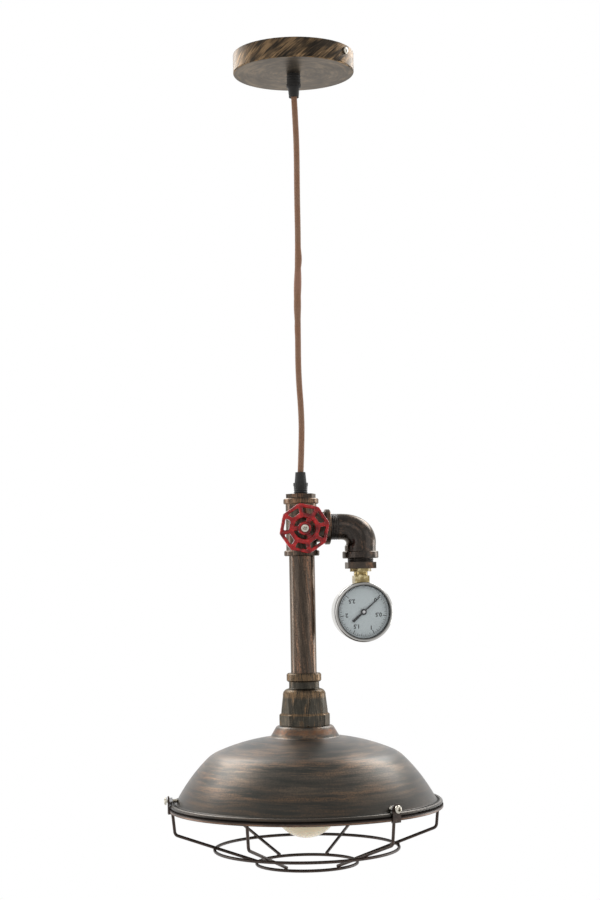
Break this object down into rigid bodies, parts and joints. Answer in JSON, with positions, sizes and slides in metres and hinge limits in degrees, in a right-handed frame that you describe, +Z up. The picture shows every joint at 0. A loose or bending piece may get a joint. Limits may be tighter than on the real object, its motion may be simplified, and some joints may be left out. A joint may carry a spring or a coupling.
{
  "type": "pendant lamp",
  "caption": "Ceiling lamp on a cord: round ceiling cup, pipe fittings with a red handwheel and a pressure gauge, domed metal shade and wire guard.",
  "frame": {"origin": "on the ceiling plane, at the middle of the ceiling bracket's two fixing holes and of the round cup", "axes": "+Z up, the lamp hanging below along -Z; +X from the pipe towards the elbow and the gauge; the handwheel faces -Y"},
  "size_m": [0.2896, 0.2842, 0.8542],
  "materials": {
    "bronze_finish": "aged bronze plating, brushed and lacquered",
    "canopy_bronze": "aged bronze plating with brush strokes",
    "plain_steel": "zinc plated",
    "silver_screw": "bright zinc",
    "black_plastic": "matt black",
    "white_plastic": "matt white",
    "core_insulation": "smooth",
    "brown_cord": "braided brown textile",
    "red_enamel": "glossy red enamel",
    "polished_steel": "polished",
    "brass": "machined",
    "dial_face": "matt pale blue-grey print",
    "clear_window": "clear",
    "pointer_black": "matt black",
    "opal_glass": "opal",
    "shade_bronze": "aged bronze plating with fine turned streaks",
    "guard_bronze": "dark bronze plating"
  },
  "bodies": {
    "ceiling_mount": {"ceiling_bracket": "plain_steel", "canopy_cover": "canopy_bronze", "canopy_screws": "silver_screw", "terminal_block": "white_plastic", "canopy_leads": "core_insulation", "canopy_cord_tail": "brown_cord", "canopy_gland_cap": "black_plastic", "canopy_gland_body": "black_plastic", "canopy_gland_locknut": "black_plastic"},
    "cord": {"hanging_cord": "brown_cord"},
    "lamp_gland": {"lamp_gland_cap": "black_plastic", "lamp_gland_body": "black_plastic"},
    "handwheel_assembly": {"wheel_spindle": "plain_steel", "handwheel": "red_enamel", "wheel_screw": "silver_screw"},
    "gauge_needle": {"gauge_pointer": "pointer_black"},
    "lamp": {"lamp_cable": "brown_cord", "top_bushing": "bronze_finish", "pipe_tee": "bronze_finish", "drop_pipe": "bronze_finish", "packing_nut": "bronze_finish", "street_elbow": "bronze_finish", "gauge_bushing": "bronze_finish", "gauge_socket": "brass", "gauge_case": "polished_steel", "gauge_bezel": "polished_steel", "gauge_window": "clear_window", "gauge_dial": "dial_face", "gauge_movement": "brass", "bourdon_tube": "brass", "reducing_socket": "bronze_finish", "bridge_washer": "plain_steel", "holder_nipple": "plain_steel", "nipple_nuts": "plain_steel", "lampholder": "black_plastic", "holder_ring": "black_plastic", "socket_shell": "brass", "socket_contact": "brass", "bulb_cap": "plain_steel", "bulb_glass": "opal_glass", "lamp_shade": "shade_bronze", "guard_rim_ring": "guard_bronze", "guard_leg_wires": "guard_bronze", "guard_middle_ring": "guard_bronze", "guard_bottom_ring": "guard_bronze", "guard_clamps": "guard_bronze", "clamp_screws": "silver_screw", "clamp_nuts": "plain_steel"}
  },
  "joints": [
    {"name": "cord_swing", "type": "hinge", "parent": "ceiling_mount", "child": "cord", "pos_m": [0, 0, -0.0423], "axis": [0, 1, 0], "range_deg": [-15, 15]},
    {"name": "lamp_tip", "type": "hinge", "parent": "cord", "child": "lamp_gland", "pos_m": [0, 0, -0.4515], "axis": [1, 0, 0], "range_deg": [-15, 15]},
    {"name": "lamp_turn", "type": "hinge", "parent": "lamp_gland", "child": "lamp", "pos_m": [0, 0, -0.4704], "axis": [0, 0, 1], "range_deg": [-180, 180], "stiffness_Nm_per_rad": 0.03},
    {"name": "handwheel_spin", "type": "hinge", "parent": "lamp", "child": "handwheel_assembly", "pos_m": [0, -0.03, -0.5074], "axis": [0, 1, 0], "continuous": true},
    {"name": "gauge_pointer_turn", "type": "hinge", "parent": "lamp", "child": "gauge_needle", "pos_m": [0.06292, -0.00894, -0.595], "axis": [-0.1132, 0.9936, 0], "range_deg": [0, 270], "stiffness_Nm_per_rad": 0.0002, "springref_deg": -11.46}
  ]
}
